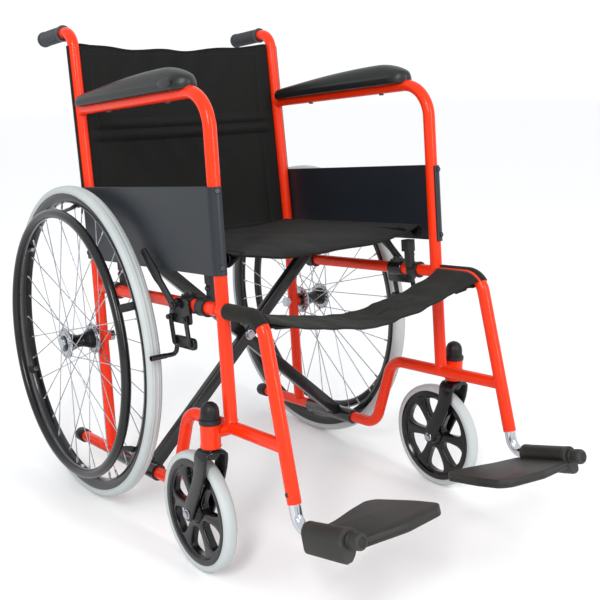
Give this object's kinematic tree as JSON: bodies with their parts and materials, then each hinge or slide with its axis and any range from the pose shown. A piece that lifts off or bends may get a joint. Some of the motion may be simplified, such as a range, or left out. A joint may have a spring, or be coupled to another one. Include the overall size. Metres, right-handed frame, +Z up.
{
  "type": "manual wheelchair",
  "caption": "Folding manual wheelchair with tubular side frames, scissor cross brace, sling seat and back, spoked push wheels, swivel casters, brakes and flip-up footplates.",
  "frame": {"origin": "centre of the chair's footprint on the floor, at the bottom centre of its bounding box", "axes": "+X to the sitter's left, +Y towards the back of the chair, +Z up; the sitter faces -Y"},
  "size_m": [0.6546, 1.0819, 0.9172],
  "materials": {
    "frame_paint": "gloss red-orange paint",
    "black_metal": "gloss black paint",
    "steel": "zinc plated",
    "chrome": "bright chrome",
    "tyre": "solid light grey tyre",
    "black_plastic": "satin black moulding",
    "panel_plastic": "dark blue-grey sheet",
    "grip_rubber": "grooved dark grey grip",
    "pad": "satin black self-skinned foam",
    "cloth": "charcoal nylon"
  },
  "bodies": {
    "side_right": {"back_post_right": "frame_paint", "arm_tube_right": "frame_paint", "seat_tube_right": "frame_paint", "base_tube_right": "frame_paint", "hand_grip_right": "grip_rubber", "tip_cap_right": "black_plastic", "armrest_pad_right": "pad", "side_panel_right": "panel_plastic", "frame_screws_right": "steel", "caster_cap_right": "black_plastic", "seat_saddles_right": "black_plastic", "rear_axle_right": "steel", "brake_clamp_right": "black_metal", "calf_strap": "cloth"},
    "side_left": {"back_post_left": "frame_paint", "arm_tube_left": "frame_paint", "seat_tube_left": "frame_paint", "base_tube_left": "frame_paint", "hand_grip_left": "grip_rubber", "tip_cap_left": "black_plastic", "armrest_pad_left": "pad", "side_panel_left": "panel_plastic", "frame_screws_left": "steel", "caster_cap_left": "black_plastic", "seat_saddles_left": "black_plastic", "rear_axle_left": "steel", "brake_clamp_left": "black_metal"},
    "rear_wheel_right": {"tyre_right": "tyre", "wheel_rim_right": "black_metal", "spoked_hub_right": "steel", "handrim_right": "black_metal"},
    "caster_fork_right": {"caster_fork_right": "black_metal"},
    "caster_wheel_right": {"caster_core_right": "black_plastic", "caster_tyre_right": "tyre"},
    "footrest_tube_right": {"footrest_tube_right": "chrome"},
    "footplate_right": {"footplate_right": "black_plastic"},
    "brake_lever_right": {"brake_lever_right": "black_metal"},
    "brake_link_rear_right": {"brake_link_rear_right": "black_metal"},
    "brake_link_front_right": {"brake_link_front_right": "black_metal"},
    "brake_shoe_right": {"brake_shoe_right": "black_metal"},
    "rear_wheel_left": {"tyre_left": "tyre", "wheel_rim_left": "black_metal", "spoked_hub_left": "steel", "handrim_left": "black_metal"},
    "caster_fork_left": {"caster_fork_left": "black_metal"},
    "caster_wheel_left": {"caster_core_left": "black_plastic", "caster_tyre_left": "tyre"},
    "footrest_tube_left": {"footrest_tube_left": "chrome"},
    "footplate_left": {"footplate_left": "black_plastic"},
    "brake_lever_left": {"brake_lever_left": "black_metal"},
    "brake_link_rear_left": {"brake_link_rear_left": "black_metal"},
    "brake_link_front_left": {"brake_link_front_left": "black_metal"},
    "brake_shoe_left": {"brake_shoe_left": "black_metal"},
    "crossbar_a": {"crossbar_a": "black_metal", "cross_pivot_bolt": "steel"},
    "crossbar_b": {"crossbar_b": "black_metal"},
    "seat_right": {"seat_right": "cloth"},
    "seat_left": {"seat_left": "cloth"},
    "back_right": {"back_right": "cloth"},
    "back_left": {"back_left": "cloth"}
  },
  "joints": [
    {"name": "fold", "type": "hinge", "parent": "side_right", "child": "crossbar_a", "pos_m": [-0.238, 0.10278, 0.08189], "axis": [0, -0.9975, 0.071], "range_deg": [0, 36], "deforming": ["calf_strap"]},
    {"name": "cross_pivot", "type": "hinge", "parent": "crossbar_a", "child": "crossbar_b", "pos_m": [0, 0.08525, 0.30053], "axis": [0, -0.9975, 0.071], "range_deg": [-76, 0]},
    {"name": "fold_left", "type": "hinge", "parent": "crossbar_b", "child": "side_left", "pos_m": [0.238, 0.10278, 0.08189], "axis": [0, -0.9975, 0.071], "range_deg": [0, 38]},
    {"name": "seat_fold_right", "type": "hinge", "parent": "crossbar_b", "child": "seat_right", "pos_m": [-0.212, 0.01617, 0.49909], "axis": [0, -0.9975, 0.071], "range_deg": [0, 110], "deforming": ["seat_right"]},
    {"name": "seat_fold_middle", "type": "hinge", "parent": "seat_right", "child": "seat_left", "pos_m": [0, 0.01695, 0.51006], "axis": [0, -0.9975, 0.071], "range_deg": [-144, 0], "deforming": ["seat_left"]},
    {"name": "back_fold_right", "type": "hinge", "parent": "side_right", "child": "back_right", "pos_m": [-0.238, 0.27145, 0.66338], "axis": [0, 0.126, 0.992], "range_deg": [0, 76], "deforming": ["back_right"]},
    {"name": "back_fold_middle", "type": "hinge", "parent": "back_right", "child": "back_left", "pos_m": [0, 0.27344, 0.66324], "axis": [0, 0.126, 0.992], "range_deg": [-150, 0], "deforming": ["back_left"]},
    {"name": "rear_wheel_right_spin", "type": "hinge", "parent": "side_right", "child": "rear_wheel_right", "pos_m": [-0.2853, 0.23595, 0.305], "axis": [1, 0, 0], "continuous": true},
    {"name": "caster_right_swivel", "type": "hinge", "parent": "side_right", "child": "caster_fork_right", "pos_m": [-0.2757, -0.22005, 0.24], "axis": [0, 0, 1], "continuous": true},
    {"name": "caster_right_spin", "type": "hinge", "parent": "caster_fork_right", "child": "caster_wheel_right", "pos_m": [-0.2757, -0.17605, 0.1], "axis": [1, 0, 0], "continuous": true},
    {"name": "footrest_right_height", "type": "slide", "parent": "side_right", "child": "footrest_tube_right", "axis": [0, -0.2559, -0.9667], "range_m": [0, 0.06]},
    {"name": "footplate_right_flip", "type": "hinge", "parent": "footrest_tube_right", "child": "footplate_right", "pos_m": [-0.238, -0.4655, 0.15804], "axis": [0, -0.9667, 0.2559], "range_deg": [0, 76]},
    {"name": "brake_right_lever", "type": "hinge", "parent": "side_right", "child": "brake_lever_right", "pos_m": [-0.264, -0.09795, 0.43102], "axis": [1, 0, 0], "range_deg": [0, 45]},
    {"name": "brake_right_link_rear", "type": "hinge", "parent": "side_right", "child": "brake_link_rear_right", "pos_m": [-0.258, -0.07557, 0.40737], "axis": [1, 0, 0], "range_deg": [0, 11]},
    {"name": "brake_right_link_front", "type": "hinge", "parent": "side_right", "child": "brake_link_front_right", "pos_m": [-0.258, -0.12544, 0.41092], "axis": [1, 0, 0], "range_deg": [0, 11]},
    {"name": "brake_right_shoe", "type": "hinge", "parent": "brake_link_rear_right", "child": "brake_shoe_right", "pos_m": [-0.255, -0.08553, 0.36597], "axis": [1, 0, 0], "range_deg": [-11, 0]},
    {"name": "rear_wheel_left_spin", "type": "hinge", "parent": "side_left", "child": "rear_wheel_left", "pos_m": [0.2853, 0.23595, 0.305], "axis": [1, 0, 0], "continuous": true},
    {"name": "caster_left_swivel", "type": "hinge", "parent": "side_left", "child": "caster_fork_left", "pos_m": [0.2757, -0.22005, 0.24], "axis": [0, 0, 1], "continuous": true},
    {"name": "caster_left_spin", "type": "hinge", "parent": "caster_fork_left", "child": "caster_wheel_left", "pos_m": [0.2757, -0.17605, 0.1], "axis": [1, 0, 0], "continuous": true},
    {"name": "footrest_left_height", "type": "slide", "parent": "side_left", "child": "footrest_tube_left", "axis": [0, -0.2559, -0.9667], "range_m": [0, 0.06]},
    {"name": "footplate_left_flip", "type": "hinge", "parent": "footrest_tube_left", "child": "footplate_left", "pos_m": [0.238, -0.4655, 0.15804], "axis": [0, 0.9667, -0.2559], "range_deg": [0, 76]},
    {"name": "brake_left_lever", "type": "hinge", "parent": "side_left", "child": "brake_lever_left", "pos_m": [0.264, -0.09795, 0.43102], "axis": [1, 0, 0], "range_deg": [0, 45]},
    {"name": "brake_left_link_rear", "type": "hinge", "parent": "side_left", "child": "brake_link_rear_left", "pos_m": [0.258, -0.07557, 0.40737], "axis": [1, 0, 0], "range_deg": [0, 11]},
    {"name": "brake_left_link_front", "type": "hinge", "parent": "side_left", "child": "brake_link_front_left", "pos_m": [0.258, -0.12544, 0.41092], "axis": [1, 0, 0], "range_deg": [0, 11]},
    {"name": "brake_left_shoe", "type": "hinge", "parent": "brake_link_rear_left", "child": "brake_shoe_left", "pos_m": [0.255, -0.08553, 0.36597], "axis": [1, 0, 0], "range_deg": [-11, 0]}
  ],
  "couplings": [
    {"joint": "cross_pivot", "follows": "fold", "ratio": -2},
    {"joint": "fold_left", "follows": "fold", "ratio": 1},
    {"joint": "seat_fold_right", "follows": "fold", "ratio": 2.9772},
    {"joint": "seat_fold_middle", "follows": "fold", "ratio": -3.9545},
    {"joint": "back_fold_right", "follows": "fold", "ratio": 2.0458},
    {"joint": "back_fold_middle", "follows": "fold", "ratio": -4.0915},
    {"joint": "footplate_right_flip", "follows": "fold", "ratio": 2.1},
    {"joint": "brake_right_link_rear", "follows": "brake_right_lever", "ratio": 0.22222},
    {"joint": "brake_right_link_front", "follows": "brake_right_lever", "ratio": 0.22222},
    {"joint": "brake_right_shoe", "follows": "brake_right_lever", "ratio": -0.22222},
    {"joint": "footplate_left_flip", "follows": "fold", "ratio": 2.1},
    {"joint": "brake_left_link_rear", "follows": "brake_left_lever", "ratio": 0.22222},
    {"joint": "brake_left_link_front", "follows": "brake_left_lever", "ratio": 0.22222},
    {"joint": "brake_left_shoe", "follows": "brake_left_lever", "ratio": -0.22222}
  ]
}
